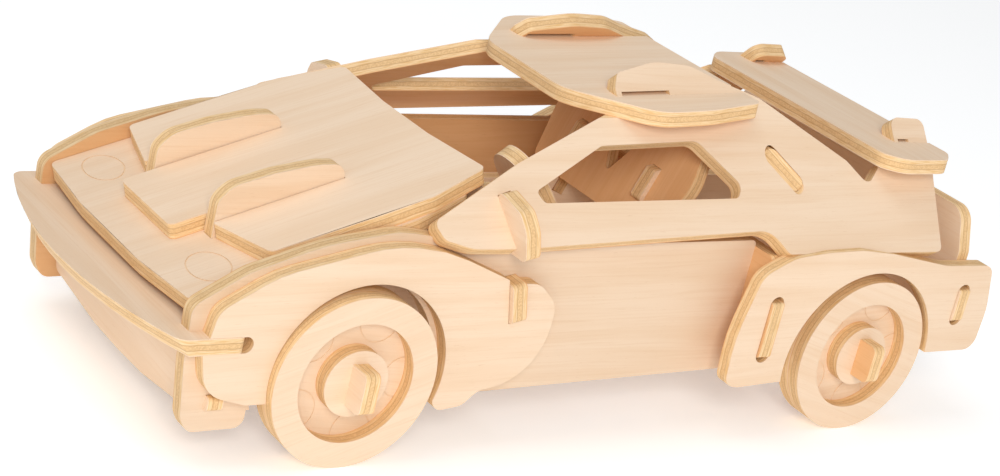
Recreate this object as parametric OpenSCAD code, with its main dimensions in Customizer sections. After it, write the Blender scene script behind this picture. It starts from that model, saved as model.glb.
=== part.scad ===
// Plywood sports car put together from flat slotted plates.
// Millimetres. The nose points to -X, the car's left side is -Y, +Z is up.
// The origin is on the ground, under the middle of the whole car.
// Outlines are drawn at "stations": x is measured from the front axle,
// z from the ground. Every node is then moved by -mid_x to the origin.

/* [Plywood] */
// thickness of every plate
ply = 3; // [2.8:0.1:3.1]

/* [Wheels] */
// tread radius of all four wheels
wheel_r = 16; // [15:0.5:16.5]
// radius of the round opening in a tyre ring
ring_hole_r = 11.2; // [9:0.1:12]
// radius of the hub disc inside the opening
hub_r = 6.2; // [5.5:0.1:7]
// distance from front axle to rear axle
wheelbase = 115.8; // [115:0.1:116.5]
// outer face of the front wheels from the centre plane
front_track = 37.3; // [37.3:0.1:38]
// outer face of the rear wheels from the centre plane
rear_track = 39.7; // [39.5:0.1:40.5]
// height of the flat axle bar
axle_h = 7.6; // [7:0.1:8]

/* [Body] */
// inner face of the lower side panels from the centre plane
side_y = 29.2; // [29.2:0.1:29.4]
// inner face of the rear fenders from the centre plane
rear_fender_y = 37.6; // [37.4:0.1:38]
// inner face of the chassis rails from the centre plane
rail_y = 10.4; // [10:0.1:10.8]
// slope of the bonnet plates in degrees
hood_slope = 18.3; // [18:0.1:18.6]
// lean of the upper side panels from the vertical in degrees
panel_lean = 41.65; // [41.4:0.05:41.9]
// slope of the roof plate in degrees
roof_slope = 2.3; // [2:0.1:2.6]

/* [Hidden] */
$fn = 96;
mid_x = 53.3;
front_hub_y = front_track - ply;
rear_hub_y = rear_track - ply;
axle_z = wheel_r;
axle_hole_r = sqrt(axle_h * axle_h + ply * ply) / 2 + 0.06;
// station of the front faces of the cross plates
mirror_x = 27.6;
mirror_z = 38;
mirror_lean = 13;
seat_wall_x = 86.8;
tail_x = 137;
valance_x = -25.5;
bumper_z = 21.9;
// the leaning panels pass through this point of their outer face
panel_y = 37.03;
panel_z = 39;
panel_flare = 1.3176;
// the roof and wing top faces pass through these points
roof_at = [55.5, 61.5];
wing_at = [122.8, 55.7];
// stations where the roof and wing slots end
roof_slot_x = 70.3;
wing_slot_x = 128.7;

birch = [0.93, 0.80, 0.66];

// ---------- shared shapes ----------

function unit(v) = v / norm(v);

// Points of one corner [x, y, r] rounded with radius r between its neighbours.
function corner(a, p, b) =
    p[2] == 0 ? [[p[0], p[1]]] :
    let (
        here = [p[0], p[1]],
        u = unit([a[0], a[1]] - here),
        v = unit([b[0], b[1]] - here),
        half = acos(u * v) / 2,
        centre = here + unit(u + v) * p[2] / sin(half),
        first = here + u * p[2] / tan(half) - centre,
        last = here + v * p[2] / tan(half) - centre,
        sweep = 180 - 2 * half,
        turn = first[0] * last[1] - first[1] * last[0] > 0 ? 1 : -1,
        steps = max(2, ceil(sweep / 9))
    )
    [for (i = [0 : steps])
        let (t = turn * sweep * i / steps)
        centre + [first[0] * cos(t) - first[1] * sin(t), first[0] * sin(t) + first[1] * cos(t)]];

// A closed outline from corners [x, y, r].
function rounded(c) =
    [for (i = [0 : len(c) - 1])
        each corner(c[(i + len(c) - 1) % len(c)], c[i], c[(i + 1) % len(c)])];

// The corners of one half and their mirror image: first or second coordinate negated.
function both_halves(c) =
    concat(c, [for (i = [len(c) - 1 : -1 : 0]) [-c[i][0], c[i][1], c[i][2]]]);
function both_sides(c) =
    concat(c, [for (i = [len(c) - 1 : -1 : 0]) [c[i][0], -c[i][1], c[i][2]]]);
// Plan corners moved into the frame of a plate that starts at x0 and slopes.
function along(c, x0, slope) =
    [for (p = c) [(p[0] - x0) / cos(slope), p[1], p[2]]];

// A rectangle given by its two ranges.
module block(x0, x1, y0, y1) {
    translate([x0, y0]) square([x1 - x0, y1 - y0]);
}

// An upright slot with round ends, in the plane of an upright plate.
module round_slot(x0, z0, z1) {
    r = ply / 2 + 0.15;
    block(x0 + ply / 2 - r, x0 + ply / 2 + r, z0 + r, z1 - r);
    translate([x0 + ply / 2, z0 + r]) circle(r);
    translate([x0 + ply / 2, z1 - r]) circle(r);
}

// A plate standing along the car, drawn in x and z, from y0 outwards.
module long_plate(y0) {
    translate([0, y0 + ply, 0]) rotate([90, 0, 0]) linear_extrude(ply) children();
}

// A plate standing across the car, drawn in y and z, from x0 rearwards.
module cross_plate(x0) {
    translate([x0, 0, 0]) rotate([90, 0, 90]) linear_extrude(ply) children();
}

// A strip of the leaning mirror wall seen from the side, between two heights.
module mirror_strip(z0, z1, gap) {
    translate([mirror_x, mirror_z]) rotate(mirror_lean)
        block(-gap, ply + gap, z0 - mirror_z, z1 - mirror_z);
}

// The frame of the mirror wall: its top leans towards the nose.
module mirror_frame() {
    translate([mirror_x, 0, mirror_z]) rotate([0, -mirror_lean, 0])
        translate([0, 0, -mirror_z]) children();
}

// The frame of the leaning right-hand panel: x along, y up the panel, z inwards.
module lean_frame() {
    translate([0, panel_y, panel_z]) rotate([0, 0, panel_flare])
        rotate([90 + panel_lean, 0, 0]) children();
}

// Frames of the sloping plates: x along the car, z up from the plate's top face.
module roof_frame() {
    translate([roof_at[0], 0, roof_at[1]]) rotate([0, -roof_slope, 0]) children();
}

module wing_frame() {
    translate([wing_at[0], 0, wing_at[1]]) children();
}

module hood_frame(front_x, front_z) {
    translate([front_x, 0, front_z]) rotate([0, -hood_slope, 0]) children();
}

module window_frame() {
    translate([89.9, 0, 55.6]) rotate([0, 41.8, 0]) children();
}

// A bar with round ends that crosses the right-hand panel; its lower end is fixed.
module window_slot(from, r) {
    translate([0, 50, -ply / 2]) rotate([90, 0, 0]) linear_extrude(40) {
        block(from, 8.1, -r, r);
        for (x = [from, 8.1]) translate([x, 0]) circle(r);
    }
}

// Everything is drawn on the right; the left-hand piece is its mirror image.
module on_side(side) {
    if (side == "left") mirror([0, 1, 0]) children();
    else children();
}

module at_origin() {
    translate([-mid_x, 0, 0]) children();
}

function hood_z(x) = 28.9 + (x + 30.5) * tan(hood_slope);

// ---------- side plates ----------

side_lower_outline = [
    [-30.6, 19, 0], [-31, 29.3, 3], [-21.5, 35, 14], [-8, 39.5, 40],
    [6, 41.7, 16], [14.5, 40.4, 4], [17, 38.4, 2], [86.8, 38.4, 1], [86.8, 11.4, 1.5],
    [57, 10.7, 0], [18, 9.7, 0], [-17.3, 9.7, 0], [-17.3, 6.4, 2], [-27.8, 6.2, 2.5],
    [-29.4, 9, 4]
];

module side_lower(side) {
    at_origin() on_side(side) union() {
        long_plate(side_y) difference() {
            polygon(rounded(side_lower_outline));
            translate([0, axle_z]) circle(wheel_r + 1.8);
            block(-40, -21.5, bumper_z, bumper_z + ply);
            block(valance_x, valance_x + ply, 10.3, 13.1);
            mirror_strip(24.6, 32.4, 0);
        }
        // hook into the wall behind the door
        long_plate(side_y) block(seat_wall_x, seat_wall_x + ply, 20, 27);
    }
}

fender_front_outline = [
    [-28.4, 24.9, 0], [-27.6, 29.6, 4], [-17.5, 35.6, 20], [3, 40.4, 30], [14, 39.4, 36],
    [30.5, 32.6, 2], [35.5, 32.4, 4], [40.3, 28.2, 5], [39.8, 13.9, 12], [27.5, 11.9, 3],
    [24.6, 9.1, 3], [18.6, 8.3, 2.2], [17.8, 12, 0], [10, 14, 0], [0, 10.8, 0], [-14, 12.2, 0], [-19.5, 12.2, 2],
    [-27.6, 14.6, 6], [-29.2, 21.9, 0]
];

module fender_front(side) {
    at_origin() on_side(side) long_plate(side_y + ply) difference() {
        polygon(rounded(fender_front_outline));
        translate([1.5, axle_z]) circle(wheel_r + 1.5);
        block(-40, -21.7, bumper_z, bumper_z + ply);
        translate([-21.7, bumper_z + ply / 2]) circle(ply / 2);
        mirror_strip(24.5, 41, 0.1);
    }
}

fender_rear_outline = [
    [80.2, 22, 25], [83.1, 34.7, 5], [90, 38.3, 12], [107, 40.1, 60], [131.5, 35.5, 15],
    [144.7, 35.2, 2.6], [146.9, 25.5, 12], [146.4, 16.4, 3], [120, 16.4, 0], [113.6, 12.1, 0],
    [93.4, 12.1, 1.2], [84, 11.6, 0], [80.8, 12.2, 2.4]
];

module fender_rear(side) {
    at_origin() on_side(side) long_plate(rear_fender_y) difference() {
        polygon(rounded(fender_rear_outline));
        translate([wheelbase - 2.2, 15.5]) circle(wheel_r + 3);
        round_slot(seat_wall_x, 16.6, 30.4);
        round_slot(tail_x, 22.2, 31.2);
    }
}

// Outline of the leaning panel: x along the car, y up the panel.
side_upper_outline = [
    [11.3, 6.4, 1.5], [13, 3.2, 2], [18.5, 1.5, 8], [28, 1.4, 0], [54, 2.8, 0], [85.8, 4.3, 5],
    [89.2, -0.5, 1.5], [128.8, -0.5, 1.5], [131.9, 18.5, 0],
    [132.1, 27.4, 1.8], [123.3, 27.7, 2.2], [122.9, 18.2, 0],
    [117.8, 17.9, 1], [113.3, 13.2, 1.8], [108.9, 18.3, 1.2], [98.6, 25, 8],
    [90, 30.8, 8], [81, 34, 6], [74.5, 36.9, 8], [66, 37.4, 12], [57, 34.9, 1.4],
    [55.9, 32, 0.6], [55.9, 28.3, 0], [31, 17.1, 0]
];

window_outline = [
    [33.7, 11.9, 0.8], [35, 9.7, 1.4], [56, 10.1, 0], [79.6, 10.6, 1.6], [81, 13.2, 2],
    [72.4, 21.9, 3], [50, 20.6, 2]
];

module side_upper(side) {
    at_origin() on_side(side) difference() {
        lean_frame() linear_extrude(ply) difference() {
            polygon(rounded(side_upper_outline));
            polygon(rounded(window_outline));
        }
        // room for the roof plate below the hook, and for the wing below its tab
        roof_frame() translate([-9, 0, -ply]) cube([roof_slot_x - roof_at[0] + 9, 40, ply]);
        roof_frame() translate([2, 0, -0.5]) cube([roof_slot_x - roof_at[0] - 3.5, 40, 1.2]);
        wing_frame() translate([-9, 0, -ply]) cube([wing_slot_x - wing_at[0] + 9, 50, ply]);
        wing_frame() translate([1.5, 0, -0.5]) cube([wing_slot_x - wing_at[0] - 3, 50, 1.0]);
        // slot that drops over the mirror wall
        mirror_frame() translate([0, 20, 36]) cube([ply, 30, 11.6]);
        // slanting slot with round ends for the rear window board
        window_frame() window_slot(1.8, ply / 2 + 0.1);
        // the rear fender stands in front of the lower edge
        long_plate(rear_fender_y) polygon(rounded(fender_rear_outline));
    }
}

// ---------- front end ----------

// The front edge is an arc and slants back below.
bumper_r = 95;
bumper_front = -40.6;
bumper_slant = 1.9;
tip_r = 3;
tip_y = 32.3;
tip_reach = bumper_r - tip_r;
tip_angle = asin(tip_y / tip_reach);
bumper_half = [
    [-60, 35.3, 0], [-21.7, 35.3, 1.2], [-21.7, 29, 0], [-13, 29, 1.5]
];

module bumper() {
    at_origin() translate([0, 0, bumper_z]) intersection() {
        linear_extrude(ply) difference() {
            polygon(rounded(both_sides(bumper_half)));
            // slots for the rails
            for (s = [-1, 1]) translate([-19, s * (rail_y + ply / 2) - ply / 2]) square([8, ply]);
            // front corners, rounded into the arc
            for (side = ["left", "right"]) on_side(side)
                translate([bumper_front + bumper_r - tip_reach * cos(tip_angle), tip_y])
                    difference() {
                        polygon([[0, 0], [-9 * cos(tip_angle), 9 * sin(tip_angle)], [-9, 9], [0, 9]]);
                        circle(tip_r);
                    }
        }
        translate([bumper_front + bumper_r, 0, 0])
            cylinder(h = ply, r1 = bumper_r - bumper_slant, r2 = bumper_r, $fn = 360);
    }
}

valance_half = [
    [0, 5.7, 0], [10, 5.9, 30], [29.1, 8.2, 2], [29.1, 10.4, 0], [33.4, 10.4, 0.8],
    [33.4, 13, 0.8], [29.1, 13, 0], [29.1, bumper_z, 0]
];

module valance() {
    at_origin() cross_plate(valance_x) polygon(rounded(both_halves(valance_half)));
}

hood_lower_half = [
    [-31.4, 12, 60], [-29.9, 29.1, 1.5], [11, 29.1, 3], [22, 26.6, 1.5]
];

module hood_lower() {
    at_origin() difference() {
        hood_frame(-31.4, hood_z(-31.4)) translate([0, 0, -ply]) linear_extrude(ply)
            polygon(rounded(both_sides(along(hood_lower_half, -31.4, hood_slope))));
        // slots for the fins of the rails
        for (s = [-1, 1])
            translate([-19.05, s * (rail_y + ply / 2) - ply / 2 - 0.05, 20])
                cube([23.75, ply + 0.1, 40]);
        // scored outlines of the closed headlamps
        for (s = [-1, 1]) hood_frame(-23.2, hood_z(-23.2)) translate([0, s * 21.4, 0])
            lamp_score();
    }
}

// A thin groove round an oval.
module lamp_score() {
    translate([0, 0, -0.15]) linear_extrude(0.3) difference() {
        scale([3.6, 5.3]) circle(1);
        scale([3.35, 5.05]) circle(1);
    }
}

hood_upper_half = [
    [-25.4, 9.9, 1.2], [5, 10.2, 0.3], [5, 13.6, 0.3], [-19.4, 13.6, 0.4], [-16.1, 28.2, 1.5],
    [2.5, 28.7, 10], [13.4, 28.6, 3], [25.3, 25.3, 1.5],
    [23.9, 8, 60]
];

module hood_upper() {
    at_origin() hood_frame(-25.4, hood_z(-25.4) + ply / cos(hood_slope))
        translate([0, 0, -ply]) linear_extrude(ply)
            polygon(rounded(both_sides(along(hood_upper_half, -25.4, hood_slope))));
}

// ---------- inside ----------

function under_hood(x) = hood_z(x) - ply / cos(hood_slope);

// The seat board leans back; its front face passes through seat_at.
seat_at = [74.4, 42];
seat_lean = 22;
// The steering wheel board slopes down and back from its top edge.
steering_at = [37.4, 51.0];
steering_slope = 52;

rail_outline = [
    [-21.8, 9.4, 3], [143, 9.4, 8], [143, 34, 3], [85.2, 34, 3], [84, 43.6, 3], [76, 45, 1],
    [74.4, 44.7, 0.8], [71.8, 38.3, 0.8], [73.4, 38.3, 0], [71.5, 33.5, 0], [33.4, 33.5, 3],
    [32.6, 44.3, 1.5], [25.2, under_hood(25.2), 0], [4.6, under_hood(4.6), 0],
    [4.9, 46.1, 2.4], [0, 46.3, 20], [-9, 44.6, 25], [-16.6, 42.2, 6], [-19, 39.4, 3],
    [-18.9, under_hood(-18.9), 0], [-27, under_hood(-27), 0], [-27, 24.9, 0],
    [-19, 24.9, 0], [-19, 21.9, 0], [-21.8, 21.9, 0]
];

module rail(side) {
    at_origin() on_side(side) long_plate(rail_y) difference() {
        polygon(rounded(rail_outline));
        for (x = [0, wheelbase]) translate([x, axle_z]) circle(axle_hole_r);
        mirror_strip(0, 27, 0);
        block(seat_wall_x, seat_wall_x + ply, 22, 50);
        block(tail_x, tail_x + ply, 22, 50);
        // the seat board below and above the tab that holds it
        translate(seat_at) rotate(-seat_lean) {
            block(0, ply, -12, -3.6);
            block(0, ply, 3.4, 12);
        }
        // half lap of the steering wheel board
        translate(steering_at) rotate(-steering_slope) block(16, 24, -ply, 0);
    }
}

mirror_wall_half = [
    [29.1, 13, 2], [29.1, 24.7, 0], [36.3, 24.7, 1], [36.3, 32.3, 1], [29.1, 32.3, 0],
    [29.1, 38.5, 0], [39.8, 38.5, 1.5], [39.6, 44.2, 5], [37.4, 47.2, 2.2], [31.2, 48.7, 1.5],
    [30.3, 47.2, 0], [25, 47.2, 2], [20, 45.2, 2], [13.45, 45.2, 0], [13.45, 27, 0],
    [10.35, 27, 0], [10.35, 45.2, 0]
];

module mirror_wall() {
    at_origin() mirror_frame() cross_plate(0) polygon(rounded(both_halves(mirror_wall_half)));
}

// The driver sits on the left. x down the board, y across it.
wheel_y = 17.5;
steering_outline = [
    [0, wheel_y + 7, 6.95], [26, wheel_y + 7, 1.5], [26, 7.5, 1.5], [21, 7.5, 1],
    [19.5, wheel_y - 7, 1], [0, wheel_y - 7, 6.95]
];

module steering_wheel() {
    at_origin() on_side("left") translate([steering_at[0], 0, steering_at[1]])
        rotate([0, steering_slope, 0]) translate([0, 0, -ply]) linear_extrude(ply) difference() {
            polygon(rounded(steering_outline));
            block(24, 30, rail_y - 0.05, rail_y + ply + 0.05);
        }
}

// Two seat backs cut from one board. x up the board, y across it.
seat_back_half = [
    [-9, 20.5, 3], [4, 22.6, 8], [13.8, 19.6, 6], [13.8, 8.5, 5], [-2.2, 0.6, 0.8]
];

module seat_back() {
    at_origin() translate([seat_at[0], 0, seat_at[1]]) rotate([0, seat_lean - 90, 0])
        translate([0, 0, -ply]) linear_extrude(ply) difference() {
            polygon(rounded(both_sides(seat_back_half)));
            for (s = [-1, 1]) translate([-3.6, s * (rail_y + ply / 2) - ply / 2 - 0.05])
                square([7, ply + 0.1]);
        }
}

seat_wall_half = [
    [37.5, 13, 2], [37.5, 17.8, 0], [41.1, 17.8, 0.6], [41.1, 29.2, 0.6], [37.5, 29.2, 0],
    [37.5, 37.2, 1]
];

module rail_notches(top) {
    for (s = [-1, 1]) translate([s * (rail_y + ply / 2) - ply / 2 - 0.05, 0])
        square([ply + 0.1, top]);
}

module seat_wall() {
    at_origin() cross_plate(seat_wall_x) difference() {
        polygon(rounded(both_halves(seat_wall_half)));
        rail_notches(22);
        for (s = [-1, 1]) translate([s * (side_y + ply / 2) - ply / 2, 20]) square([ply, 7]);
    }
}

tail_wall_half = [
    [37.5, 17, 2], [37.5, 23.3, 0], [41.1, 23.3, 0.6], [41.1, 30.1, 0.6], [37.5, 30.1, 0],
    [37.5, 37, 3], [34.9, 45.4, 4]
];

module tail_wall() {
    at_origin() cross_plate(tail_x) difference() {
        polygon(rounded(both_halves(tail_wall_half)));
        rail_notches(22);
    }
}

window_board_half = [
    [-3.5, 17.8, 1], [0.2, 20.1, 0], [0.2, 24.4, 0.5], [10, 30.6, 0.5], [10, 26, 0],
    [20, 32.2, 2]
];

// The room between the inner faces of the leaning panels.
module board_room() {
    intersection() {
        on_side("left") lean_frame() translate([0, -60, ply]) cube([160, 120, 60]);
        on_side("right") lean_frame() translate([0, -60, ply]) cube([160, 120, 60]);
    }
}

module rear_window_board() {
    at_origin() intersection() {
        window_frame() translate([0, 0, -ply]) linear_extrude(ply)
            polygon(rounded(both_sides(window_board_half)));
        // outside the body only the round-ended tabs are left
        union() {
            for (side = ["left", "right"]) on_side(side) window_frame() window_slot(2.6, ply / 2);
            board_room();
        }
    }
}

// ---------- roof and wing ----------

roof_half = [
    [47.6, 13, 8], [60.6, 26.6, 8], [73, 26.2, 25], [87, 23.2, 1.8]
];

// Room for the leaning panels, open to the rear from station x0.
module lean_slots(x0) {
    for (side = ["left", "right"]) on_side(side)
        lean_frame() translate([x0, -10, -0.05]) cube([30, 60, ply + 0.1]);
}

module roof() {
    at_origin() difference() {
        roof_frame() translate([0, 0, -ply]) linear_extrude(ply)
            polygon(rounded(both_sides(along(roof_half, roof_at[0], roof_slope))));
        lean_slots(roof_slot_x - 0.8);
    }
}

// The wing sits a little to the left between its tabs.
wing_shift = -3.7;
wing_half = [
    [114.8, 27.5, 4], [118.5, 30.7, 5], [129.5, 30.7, 4], [132.8, 27.1, 3]
];

module wing() {
    at_origin() difference() {
        wing_frame() translate([0, wing_shift, -ply]) linear_extrude(ply)
            polygon(rounded(both_sides(along(wing_half, wing_at[0], 0))));
        lean_slots(wing_slot_x - 0.6);
    }
}

// ---------- wheels ----------

module axle_bar(x, half_length) {
    at_origin() cross_plate(x - ply / 2) polygon(rounded(both_halves([
        [half_length, axle_z - axle_h / 2, 1.2], [half_length, axle_z + axle_h / 2, 1.2]
    ])));
}

// A round plate of a wheel at station x, its inner face y0 from the centre plane.
module wheel_plate(side, x, y0) {
    at_origin() on_side(side) translate([x, y0 + ply, axle_z]) rotate([90, 0, 0])
        linear_extrude(ply) children();
}

module axle_slot() {
    square([ply, axle_h], center = true);
}

module ring(side, x, y0) {
    wheel_plate(side, x, y0) difference() {
        circle(wheel_r);
        circle(ring_hole_r);
    }
}

// Five scored arcs like a wheel trim, open towards the tyre ring.
score = 0.12;
trim_at = 11;
trim_r = 3.9;

module trim_arcs() {
    for (i = [0 : 4]) rotate(68 + 72 * i) translate([trim_at, 0]) difference() {
        circle(trim_r + 0.12);
        circle(trim_r - 0.12);
    }
}

module disc(side, x, y0) {
    difference() {
        wheel_plate(side, x, y0) difference() {
            circle(wheel_r);
            axle_slot();
        }
        at_origin() on_side(side) translate([x, y0 + ply + score, axle_z]) rotate([90, 0, 0])
            linear_extrude(2 * score) trim_arcs();
    }
}

module hub(side, x, y0) {
    wheel_plate(side, x, y0) difference() {
        circle(hub_r);
        axle_slot();
    }
}

color(birch) side_lower("left");  // side_lower_left
color(birch) side_lower("right");  // side_lower_right
color(birch) side_upper("left");  // side_upper_left
color(birch) side_upper("right");  // side_upper_right
color(birch) fender_front("left");  // fender_front_left
color(birch) fender_front("right");  // fender_front_right
color(birch) fender_rear("left");  // fender_rear_left
color(birch) fender_rear("right");  // fender_rear_right
color(birch) bumper();
color(birch) valance();
color(birch) hood_lower();
color(birch) hood_upper();
color(birch) rail("left");  // rail_left
color(birch) rail("right");  // rail_right
color(birch) mirror_wall();
color(birch) steering_wheel();
color(birch) seat_back();
color(birch) seat_wall();
color(birch) rear_window_board();
color(birch) tail_wall();
color(birch) roof();
color(birch) wing();
color(birch) axle_bar(0, 42);  // front_axle_bar
color(birch) axle_bar(wheelbase, 44.2);  // rear_axle_bar
color(birch) ring("left", 0, front_hub_y);  // wheel_front_left_ring
color(birch) disc("left", 0, front_hub_y - ply);  // wheel_front_left_disc
color(birch) hub("left", 0, front_hub_y);  // wheel_front_left_hub
color(birch) ring("right", 0, front_hub_y);  // wheel_front_right_ring
color(birch) disc("right", 0, front_hub_y - ply);  // wheel_front_right_disc
color(birch) hub("right", 0, front_hub_y);  // wheel_front_right_hub
color(birch) ring("left", wheelbase, rear_hub_y);  // wheel_rear_left_ring
color(birch) disc("left", wheelbase, rear_hub_y - ply);  // wheel_rear_left_disc
color(birch) hub("left", wheelbase, rear_hub_y);  // wheel_rear_left_hub
color(birch) ring("right", wheelbase, rear_hub_y);  // wheel_rear_right_ring
color(birch) disc("right", wheelbase, rear_hub_y - ply);  // wheel_rear_right_disc
color(birch) hub("right", wheelbase, rear_hub_y);  // wheel_rear_right_hub
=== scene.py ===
import math
import random

import bpy
from mathutils import Matrix, Vector

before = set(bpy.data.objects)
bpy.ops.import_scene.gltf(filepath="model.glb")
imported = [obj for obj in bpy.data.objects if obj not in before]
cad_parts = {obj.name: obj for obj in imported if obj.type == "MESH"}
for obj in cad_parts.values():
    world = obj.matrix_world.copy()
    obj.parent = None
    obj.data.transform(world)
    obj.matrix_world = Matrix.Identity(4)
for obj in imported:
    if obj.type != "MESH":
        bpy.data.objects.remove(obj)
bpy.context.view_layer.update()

MM = 0.001
PLY = 3.0

# Camera: over the car's front left corner, slightly rolled. Degrees and millimetres.
CAMERA_YAW = 38.14
CAMERA_PITCH = 19.91
CAMERA_ROLL = 13.59
CAMERA_PLACE = Vector((-254.6, -322.4, 173.8))
LENS = 81.4
SENSOR = 36.0

# A point in the cabin, in metres: the outer face of a plate looks away from it, and the inner face, which
# is given painted shade, looks towards it.
BODY_MIDDLE = Vector((0.01, 0.0, 0.034))
# Plates with painted shade, warmer and darker, on both faces, and plates with no painted shade on either
# face.
TWO_SHADED = ("seat_back", "seat_wall", "rear_window_board")
TWO_UNSHADED = ("bumper", "rail_left", "rail_right", "tail_wall", "wing", "valance", "steering_wheel")
# Plates from a darker part of the sheet, darkened further as painted shade.
DARKER_AND_SHADED = {"side_lower_left": 0.91, "side_lower_right": 0.91,
          "side_upper_left": 0.96, "side_upper_right": 0.96}
# Plates whose grain doesn't run along the car. The grain of the wheels is turned at random.
GRAIN_ACROSS = ("bumper", "valance", "wing", "seat_wall", "tail_wall", "mirror_wall",
                "rear_window_board", "front_axle_bar", "rear_axle_bar")
WHEEL_GRAIN_TURN = 0.5

# Wood colours.
FACE_LIGHT = (0.88, 0.68, 0.50, 1)
FACE_DARK = (0.84, 0.62, 0.43, 1)
GRAIN = (0.78, 0.54, 0.34, 1)
FLECK = (0.62, 0.37, 0.19, 1)
# painted shade: a warmer, darker tint multiplied onto inner faces and onto both faces of cabin plates
INNER_SHADE_TINT = (0.94, 0.73, 0.50, 1)
EDGE_LIGHT = (0.90, 0.66, 0.39, 1)
EDGE_DARK = (0.76, 0.48, 0.21, 1)
CORE_END = (0.55, 0.29, 0.09, 1)
GLUE = (0.40, 0.20, 0.075, 1)

# How often each pattern changes in a millimetre: along the grain, across it, through the plate.
WAVE_RATE = (0.012, 0.09, 0.05)
FIGURE_RATE = (0.02, 0.30, 0.1)
STREAK_RATE = (0.05, 2.2, 0.4)
PORE_RATE = (0.45, 6.5, 1.0)
CLOUD_RATE = (0.05, 0.08, 0.1)
WANDER_RATE = (0.16, 0.16, 0.0)
FIBRE_RATE = (0.30, 0.30, 5.5)
SPECK_RATE = (2.6, 2.6, 3.4)

# Millimetres.
WAVE_REACH = 5.0
GLUE_DEPTH = 0.50
GLUE_WANDER = 0.34
VENEER_DEPTHS = (PLY / 2 - 0.26, PLY / 2 - 0.06)
# the painted shade of the inner face fades in over this depth either side of the mid-plane
SHADE_FADE = 1.2
BEVEL = 0.35
BUMP_DEPTH = 0.05

WORLD_STRENGTH = 0.45
KEY_PLACE = (-0.55, -0.85, 0.55)
KEY_COLOUR = (1.0, 0.96, 0.91)
TOP_PLACE = (-0.35, 0.1, 1.0)
TOP_COLOUR = (0.80, 0.90, 1.0)
LAMP_TARGET = Vector((0, 0, 0.02))


def camera():
    yaw = math.radians(CAMERA_YAW)
    pitch = math.radians(CAMERA_PITCH)
    roll = math.radians(CAMERA_ROLL)
    ahead = Vector((math.sin(yaw), math.cos(yaw), 0.0))
    forward = ahead * math.cos(pitch) - Vector((0.0, 0.0, math.sin(pitch)))
    level = Vector((math.cos(yaw), -math.sin(yaw), 0.0))
    up = level.cross(forward)
    right = math.cos(roll) * level + math.sin(roll) * up
    top = math.cos(roll) * up - math.sin(roll) * level
    data = bpy.data.cameras.new("camera")
    data.sensor_width = SENSOR
    data.lens = LENS
    data.clip_start = 0.01
    data.clip_end = 20.0
    cam = bpy.data.objects.new("camera", data)
    bpy.context.collection.objects.link(cam)
    turn = Matrix((right, top, -forward)).transposed()
    cam.matrix_world = Matrix.Translation(CAMERA_PLACE * MM) @ turn.to_4x4()
    bpy.context.scene.camera = cam


# ---------- plate directions ----------

def widest_normal(mesh):
    """The direction that the largest area of the mesh faces, forwards or backwards."""
    totals = []
    for face in mesh.polygons:
        for entry in totals:
            if abs(entry[0].dot(face.normal)) > 0.999:
                entry[1] += face.area
                break
        else:
            totals.append([face.normal.copy(), face.area])
    return max(totals, key=lambda entry: entry[1])[0].normalized()


def plate_axes(name, obj):
    """Middle, grain, cross and thickness directions of one flat plate."""
    thickness = widest_normal(obj.data)
    wanted = Vector((0, 1, 0)) if name in GRAIN_ACROSS else Vector((1, 0, 0))
    if name.startswith("wheel_"):
        angle = random.Random(name).uniform(-WHEEL_GRAIN_TURN, WHEEL_GRAIN_TURN)
        wanted = Vector((math.cos(angle), 0, math.sin(angle)))
    grain = (wanted - thickness * wanted.dot(thickness)).normalized()
    centre = sum((v.co for v in obj.data.vertices), Vector()) / len(obj.data.vertices)
    if thickness.dot(obj.matrix_world @ centre - BODY_MIDDLE) < 0:
        thickness = -thickness
    cross = thickness.cross(grain)
    depths = [v.co.dot(thickness) for v in obj.data.vertices]
    middle = thickness * (min(depths) + max(depths)) / 2
    return middle, grain, cross, thickness


# ---------- plywood ----------

class Graph:
    """Short spelling for shader nodes."""

    def __init__(self, tree):
        self.tree = tree

    def node(self, kind, **inputs):
        made = self.tree.nodes.new(kind)
        for key, value in inputs.items():
            self.feed(made.inputs[key.replace("_", " ")], value)
        return made

    def feed(self, socket, value):
        if isinstance(value, bpy.types.NodeSocket):
            self.tree.links.new(value, socket)
        else:
            socket.default_value = value

    def math(self, operation, a, b=0.0, c=0.0, clamp=False):
        made = self.tree.nodes.new("ShaderNodeMath")
        made.operation = operation
        made.use_clamp = clamp
        for socket, value in zip(made.inputs, (a, b, c)):
            self.feed(socket, value)
        return made.outputs[0]

    def vector(self, operation, a, b):
        made = self.tree.nodes.new("ShaderNodeVectorMath")
        made.operation = operation
        self.feed(made.inputs[0], a)
        self.feed(made.inputs[1], b)
        return made.outputs["Value" if operation == "DOT_PRODUCT" else "Vector"]

    def noise(self, place, rate, detail=3.0, roughness=0.5):
        squeezed = self.vector("MULTIPLY", place, rate)
        made = self.node("ShaderNodeTexNoise", Vector=squeezed, Scale=1.0, Detail=detail,
                         Roughness=roughness)
        return made.outputs["Fac"]

    def ramp(self, value, low, high, out_low=0.0, out_high=1.0):
        made = self.node("ShaderNodeMapRange", Value=value, From_Min=low, From_Max=high,
                         To_Min=out_low, To_Max=out_high)
        made.interpolation_type = "SMOOTHSTEP"
        return made.outputs[0]

    def mix(self, factor, a, b, blend="MIX"):
        made = self.tree.nodes.new("ShaderNodeMix")
        made.data_type = "RGBA"
        made.blend_type = blend
        self.feed(made.inputs["Factor"], factor)
        self.feed(made.inputs["A"], a)
        self.feed(made.inputs["B"], b)
        return made.outputs["Result"]


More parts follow.
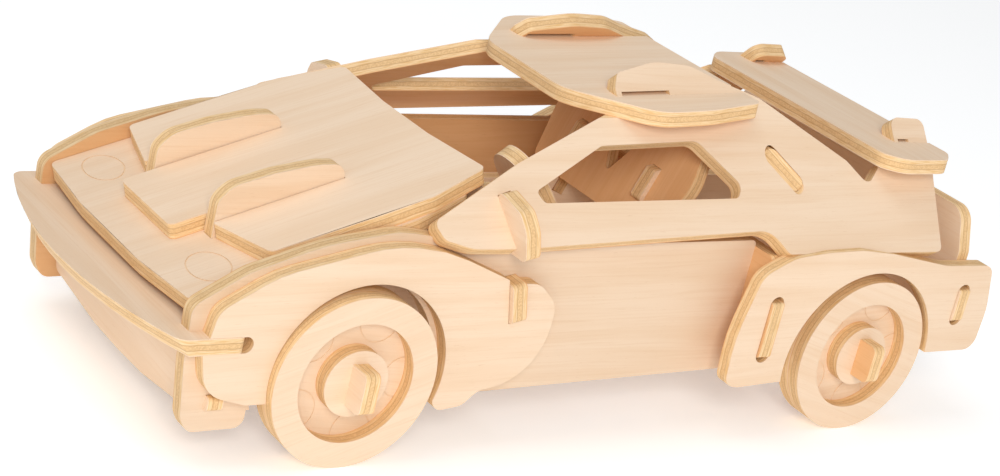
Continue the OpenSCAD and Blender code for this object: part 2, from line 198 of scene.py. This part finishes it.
def face_veneer(g, place):
    """Colour of a face: broad soft figure, fine streaks and short pores along the grain."""
    wave = g.noise(place, WAVE_RATE)
    bent = g.node("ShaderNodeCombineXYZ", Y=g.math("MULTIPLY", wave, WAVE_REACH))
    flowing = g.vector("ADD", place, bent.outputs[0])
    figure = g.noise(flowing, FIGURE_RATE, 4.0, 0.55)
    streak = g.noise(flowing, STREAK_RATE, 5.0, 0.6)
    pore = g.noise(place, PORE_RATE, 2.0)
    cloud = g.noise(place, CLOUD_RATE, 2.0)
    colour = g.mix(g.ramp(figure, 0.36, 0.66), FACE_LIGHT, FACE_DARK)
    colour = g.mix(g.ramp(streak, 0.46, 0.72, 0.0, 0.42), colour, GRAIN)
    colour = g.mix(g.ramp(pore, 0.66, 0.74, 0.0, 0.30), colour, FLECK)
    colour = g.mix(g.ramp(cloud, 0.30, 0.70, 0.0, 0.22), colour, FACE_LIGHT)
    return colour, streak, pore


def sawn_edge(g, place, depth):
    """Colour of an edge: pale outer plies, a darker core, a thin glue line between them."""
    wander = g.noise(place, WANDER_RATE, 2.0)
    ply_depth = g.math("ADD", depth, g.math("MULTIPLY_ADD", wander, GLUE_WANDER, -GLUE_WANDER / 2))
    fibre = g.noise(place, FIBRE_RATE, 4.0, 0.6)
    speck = g.noise(place, SPECK_RATE)
    outer = g.mix(g.ramp(fibre, 0.38, 0.66), EDGE_LIGHT, EDGE_DARK)
    core = g.mix(g.ramp(speck, 0.36, 0.66), EDGE_DARK, CORE_END)
    core = g.mix(0.45, core, EDGE_LIGHT)
    colour = g.mix(g.ramp(ply_depth, GLUE_DEPTH - 0.08, GLUE_DEPTH + 0.02), core, outer)
    from_glue = g.math("ABSOLUTE", g.math("SUBTRACT", ply_depth, GLUE_DEPTH))
    line = g.math("SUBTRACT", 1.0, g.ramp(from_glue, 0.03, 0.15))
    colour = g.mix(g.math("MULTIPLY", line, 0.45), colour, GLUE)
    return colour, speck, line


def plywood_group():
    """Colour, roughness and height of three-ply birch at a place given in millimetres.

    Place is along the grain, across it, and through the plate from its mid-plane.
    The fourth input is 1 for painted shade on both faces, 0 for painted shade on the inner face only, -1
    for none.
    """
    tree = bpy.data.node_groups.new("plywood", "ShaderNodeTree")
    for label, way, kind in (("Place", "INPUT", "Vector"), ("Shift", "INPUT", "Vector"),
                             ("Tone", "INPUT", "Float"), ("ShadedFaces", "INPUT", "Float"),
                             ("Color", "OUTPUT", "Color"), ("Roughness", "OUTPUT", "Float"),
                             ("Height", "OUTPUT", "Float")):
        tree.interface.new_socket(label, in_out=way, socket_type="NodeSocket" + kind)
    g = Graph(tree)
    given = tree.nodes.new("NodeGroupInput").outputs
    place = g.vector("ADD", given["Place"], given["Shift"])
    through = g.node("ShaderNodeSeparateXYZ", Vector=given["Place"]).outputs["Z"]
    depth = g.math("ABSOLUTE", through)
    face, streak, pore = face_veneer(g, place)
    edge, speck, line = sawn_edge(g, place, depth)

    # painted shade: the inner face, and both faces of cabin plates, are tinted warmer and darker
    back = g.math("ADD", g.ramp(through, -SHADE_FADE, SHADE_FADE, 1.0, 0.0), given["ShadedFaces"], clamp=True)
    face = g.mix(back, face, g.mix(1.0, face, INNER_SHADE_TINT, "MULTIPLY"))

    # the edge takes over just below the veneer's surface
    on_edge = g.ramp(depth, *VENEER_DEPTHS, 1.0, 0.0)
    wood = g.mix(on_edge, face, edge)
    toned = g.node("ShaderNodeHueSaturation", Color=wood, Value=given["Tone"])

    rough = g.math("ADD", g.ramp(streak, 0.3, 0.7, 0.50, 0.62), g.math("MULTIPLY", on_edge, 0.12))
    ridges = g.math("MULTIPLY", streak, g.math("SUBTRACT", 1.0, on_edge))
    height = g.math("ADD", g.math("MULTIPLY", ridges, 0.6), g.math("MULTIPLY", pore, -0.25))
    height = g.math("ADD", height, g.math("MULTIPLY", g.math("MULTIPLY", speck, on_edge), 0.8))
    height = g.math("SUBTRACT", height, g.math("MULTIPLY", g.math("MULTIPLY", line, on_edge), 0.6))
    out = tree.nodes.new("NodeGroupOutput")
    g.feed(out.inputs["Color"], toned.outputs[0])
    g.feed(out.inputs["Roughness"], rough)
    g.feed(out.inputs["Height"], height)
    return tree


def plywood(name, obj, group):
    """The plywood of one plate, with its own grain direction, place in the veneer and tone."""
    middle, grain, cross, thickness = plate_axes(name, obj)
    dice = random.Random("ply " + name)
    mat = bpy.data.materials.new("plywood_" + name)
    mat.use_nodes = True
    g = Graph(mat.node_tree)
    shader = mat.node_tree.nodes["Principled BSDF"]
    here = g.node("ShaderNodeTexCoord").outputs["Object"]
    here = g.vector("SUBTRACT", here, middle)
    axes = [g.math("DIVIDE", g.vector("DOT_PRODUCT", here, axis), MM) for axis in (grain, cross, thickness)]
    place = g.node("ShaderNodeCombineXYZ", X=axes[0], Y=axes[1], Z=axes[2]).outputs[0]
    wood = mat.node_tree.nodes.new("ShaderNodeGroup")
    wood.node_tree = group
    g.feed(wood.inputs["Place"], place)
    wood.inputs["Shift"].default_value = [dice.uniform(-900, 900) for _ in range(3)]
    # random tone of the plate, times a darkening that is partly the plate's own tone and partly painted
    # shade
    wood.inputs["Tone"].default_value = dice.uniform(0.97, 1.03) * DARKER_AND_SHADED.get(name, 1.0)
    # painted shade on both faces, on the inner face only, or on neither
    wood.inputs["ShadedFaces"].default_value = (name in TWO_SHADED) - (name in TWO_UNSHADED)
    bump = g.node("ShaderNodeBump", Height=wood.outputs["Height"], Strength=0.30, Distance=BUMP_DEPTH * MM)
    g.feed(shader.inputs["Base Color"], wood.outputs["Color"])
    g.feed(shader.inputs["Roughness"], wood.outputs["Roughness"])
    g.feed(shader.inputs["Normal"], bump.outputs[0])
    shader.inputs["Specular IOR Level"].default_value = 0.35
    shader.inputs["IOR"].default_value = 1.45
    return mat


# ---------- shape detail ----------

def soften(obj):
    """Lightly sanded edges."""
    flat = obj.modifiers.new("join flat faces", "DECIMATE")
    flat.decimate_type = "DISSOLVE"
    flat.angle_limit = math.radians(2)
    bevel = obj.modifiers.new("worn edges", "BEVEL")
    bevel.limit_method = "ANGLE"
    bevel.angle_limit = math.radians(35)
    bevel.width = BEVEL * MM
    bevel.segments = 2
    bevel.harden_normals = True
    bevel.use_clamp_overlap = True


# ---------- studio ----------

def floor():
    """A white floor that glows a little, so that it stays white away from the lamps."""
    bpy.ops.mesh.primitive_plane_add(size=8, location=(0, 0, 0))
    plane = bpy.context.object
    plane.name = "floor"
    mat = bpy.data.materials.new("floor")
    mat.use_nodes = True
    shader = mat.node_tree.nodes["Principled BSDF"]
    shader.inputs["Base Color"].default_value = (0.93, 0.93, 0.93, 1)
    shader.inputs["Roughness"].default_value = 0.9
    shader.inputs["Emission Color"].default_value = (1, 1, 1, 1)
    shader.inputs["Emission Strength"].default_value = 0.32
    plane.data.materials.append(mat)


def lamp(name, place, size, power, colour):
    """A square lamp that points at the car."""
    data = bpy.data.lights.new(name, "AREA")
    data.size = size
    data.energy = power
    data.color = colour
    light = bpy.data.objects.new(name, data)
    bpy.context.collection.objects.link(light)
    light.location = place
    light.rotation_euler = (LAMP_TARGET - Vector(place)).to_track_quat("-Z", "Y").to_euler()


def lights():
    bpy.context.scene.view_settings.view_transform = "Standard"
    world = bpy.data.worlds.new("studio")
    bpy.context.scene.world = world
    world.use_nodes = True
    background = world.node_tree.nodes["Background"]
    background.inputs["Color"].default_value = (1, 1, 1, 1)
    background.inputs["Strength"].default_value = WORLD_STRENGTH
    lamp("key", KEY_PLACE, 0.4, 6.4, KEY_COLOUR)
    lamp("top", TOP_PLACE, 0.6, 2.9, TOP_COLOUR)


camera()
group = plywood_group()
for name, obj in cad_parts.items():
    obj.data.materials.clear()
    obj.data.materials.append(plywood(name, obj, group))
    soften(obj)
floor()
lights()
